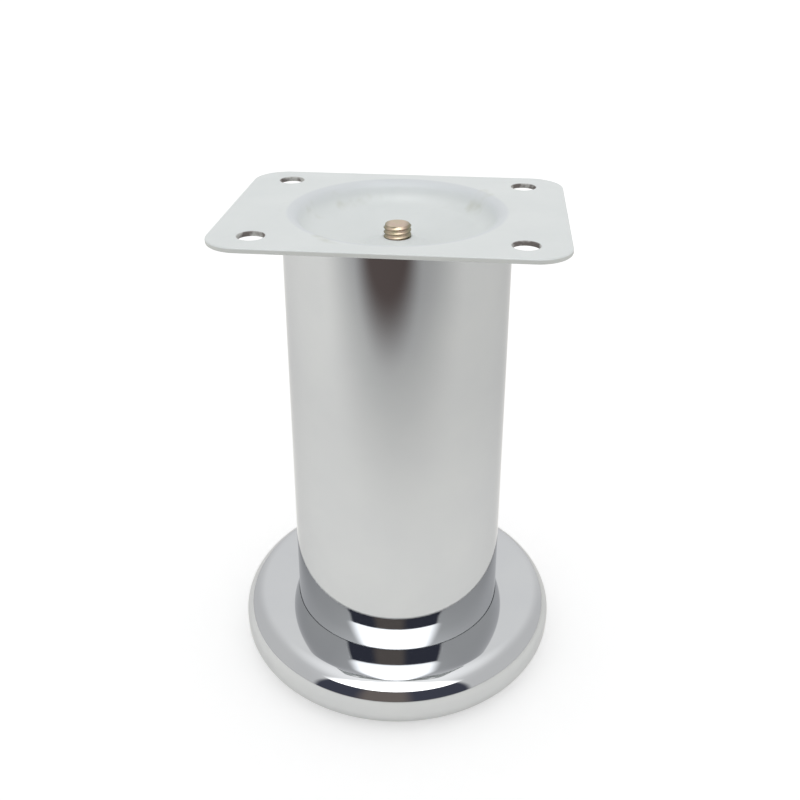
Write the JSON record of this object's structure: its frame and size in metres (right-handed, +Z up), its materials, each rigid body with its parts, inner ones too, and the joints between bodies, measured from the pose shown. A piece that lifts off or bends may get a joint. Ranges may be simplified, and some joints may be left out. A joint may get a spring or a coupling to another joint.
{
  "type": "furniture leg",
  "caption": "Round chromed furniture leg: a straight tube between a pressed screw-on mounting plate with a dished centre and a flared pressed foot, clamped by a long bolt.",
  "frame": {"origin": "on the floor, at the centre of the foot, below the leg's axis", "axes": "+Z up along the leg's axis, +X along the mounting plate's long side"},
  "size_m": [0.0768, 0.0768, 0.111],
  "materials": {
    "white_zinc": "satin zinc plating",
    "chrome": "polished chrome plating",
    "yellow_zinc": "yellow zinc plating",
    "washer_zinc": "bright zinc plating"
  },
  "bodies": {
    "root": {"mounting_plate": "white_zinc", "leg_tube": "chrome", "foot_flange": "chrome", "tie_bolt": "yellow_zinc", "flat_washer": "washer_zinc", "lock_washer": "washer_zinc"}
  },
  "joints": []
}
